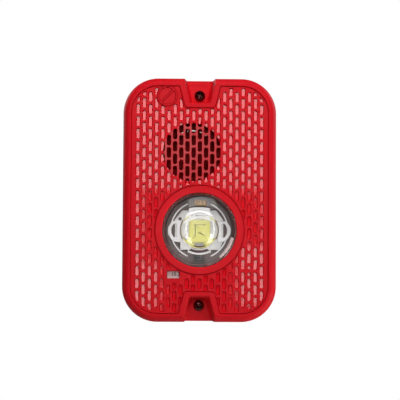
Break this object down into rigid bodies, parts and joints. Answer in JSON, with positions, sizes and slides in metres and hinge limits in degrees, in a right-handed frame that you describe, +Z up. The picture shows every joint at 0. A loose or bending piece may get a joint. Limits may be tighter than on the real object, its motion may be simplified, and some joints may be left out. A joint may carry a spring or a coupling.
{
  "type": "wall horn strobe",
  "caption": "Red wall horn strobe: slotted front cover with sounder, clear domed strobe lens, light output window and captive screws on a plug-in wall plate.",
  "frame": {"origin": "centre of the wall plate's back face, on the wall", "axes": "+Z up, +Y into the wall, so the device stands out along -Y; +X to the right of someone who faces it"},
  "size_m": [0.086, 0.041, 0.136],
  "materials": {
    "cover_plastic": "fine texture, satin",
    "plate_plastic": "moulded, satin",
    "lens_clear": "polished clear polycarbonate",
    "optic_clear": "polished clear acrylic",
    "tray_plastic": "dark grey, fine texture",
    "white_board": "white solder mask",
    "led_phosphor": "yellow phosphor under clear silicone",
    "black_plastic": "moulded",
    "white_plastic": "moulded",
    "terminal_plastic": "moulded",
    "brass": "stamped",
    "piezo_ceramic": "silvered",
    "green_board": "green solder mask",
    "ferrite": "ground ferrite",
    "copper": null,
    "label_film": "printed film",
    "chip_epoxy": "moulded epoxy",
    "capacitor_sleeve": "shrunk sleeve",
    "plated_steel": "zinc plated",
    "mounting_screw_steel": "dark plated steel"
  },
  "bodies": {
    "plate": {"wall_plate": "plate_plastic", "terminal_block": "terminal_plastic", "terminal_screw_1": "plated_steel", "terminal_screw_2": "plated_steel", "terminal_screw_3": "plated_steel", "terminal_screw_4": "plated_steel", "terminal_clip_1": "brass", "terminal_clip_2": "brass", "terminal_clip_3": "brass", "terminal_clip_4": "brass"},
    "device": {"front_cover": "cover_plastic", "back_cover": "plate_plastic", "lens": "lens_clear", "strobe_tray": "tray_plastic", "led_board": "white_board", "led_emitter": "led_phosphor", "led_optic": "optic_clear", "led_connector": "black_plastic", "led_clip": "brass", "horn_cup": "black_plastic", "horn_clamp_ring": "black_plastic", "piezo_diaphragm": "brass", "piezo_ceramic": "piezo_ceramic", "piezo_contact_1": "plated_steel", "piezo_contact_2": "plated_steel", "main_board": "green_board", "inductor_core": "ferrite", "inductor_winding": "copper", "storage_capacitor_1": "capacitor_sleeve", "storage_capacitor_2": "capacitor_sleeve", "control_chip": "chip_epoxy", "driver_chip": "chip_epoxy", "bridge_chip": "chip_epoxy", "contact_blade_1": "brass", "contact_blade_2": "brass", "contact_blade_3": "brass", "contact_blade_4": "brass", "candela_switch": "black_plastic", "tone_switch": "black_plastic", "case_screw_1": "plated_steel", "case_screw_2": "plated_steel", "case_screw_3": "plated_steel", "case_screw_4": "plated_steel"},
    "candela_selector": {"candela_slider": "black_plastic", "candela_label": "label_film"},
    "tone_selector": {"tone_rotor": "white_plastic"},
    "top_washer": {"captive_washer_top": "plated_steel"},
    "top_screw": {"mounting_screw_top": "mounting_screw_steel"},
    "bottom_washer": {"captive_washer_bottom": "plated_steel"},
    "bottom_screw": {"mounting_screw_bottom": "mounting_screw_steel"}
  },
  "joints": [
    {"name": "device_pull_off", "type": "slide", "parent": "plate", "child": "device", "axis": [0, -1, 0], "range_m": [0, 0.05]},
    {"name": "candela_slide", "type": "slide", "parent": "device", "child": "candela_selector", "axis": [-1, 0, 0], "range_m": [0, 0.0204]},
    {"name": "tone_turn", "type": "hinge", "parent": "device", "child": "tone_selector", "pos_m": [0.026, -0.0107, 0.01], "axis": [0, 1, 0], "continuous": true},
    {"name": "top_screw_back_out", "type": "slide", "parent": "device", "child": "top_washer", "axis": [0, -1, 0], "range_m": [0, 0.004]},
    {"name": "top_screw_turn", "type": "hinge", "parent": "top_washer", "child": "top_screw", "pos_m": [0, -0.0183, 0.059], "axis": [0, -1, 0], "range_deg": [0, 1800]},
    {"name": "bottom_screw_back_out", "type": "slide", "parent": "device", "child": "bottom_washer", "axis": [0, -1, 0], "range_m": [0, 0.004]},
    {"name": "bottom_screw_turn", "type": "hinge", "parent": "bottom_washer", "child": "bottom_screw", "pos_m": [0, -0.0183, -0.059], "axis": [0, -1, 0], "range_deg": [0, 1800]}
  ],
  "couplings": [
    {"joint": "top_screw_turn", "follows": "top_screw_back_out", "rad_per_m": 7853.9},
    {"joint": "bottom_screw_turn", "follows": "bottom_screw_back_out", "rad_per_m": 7853.9}
  ]
}
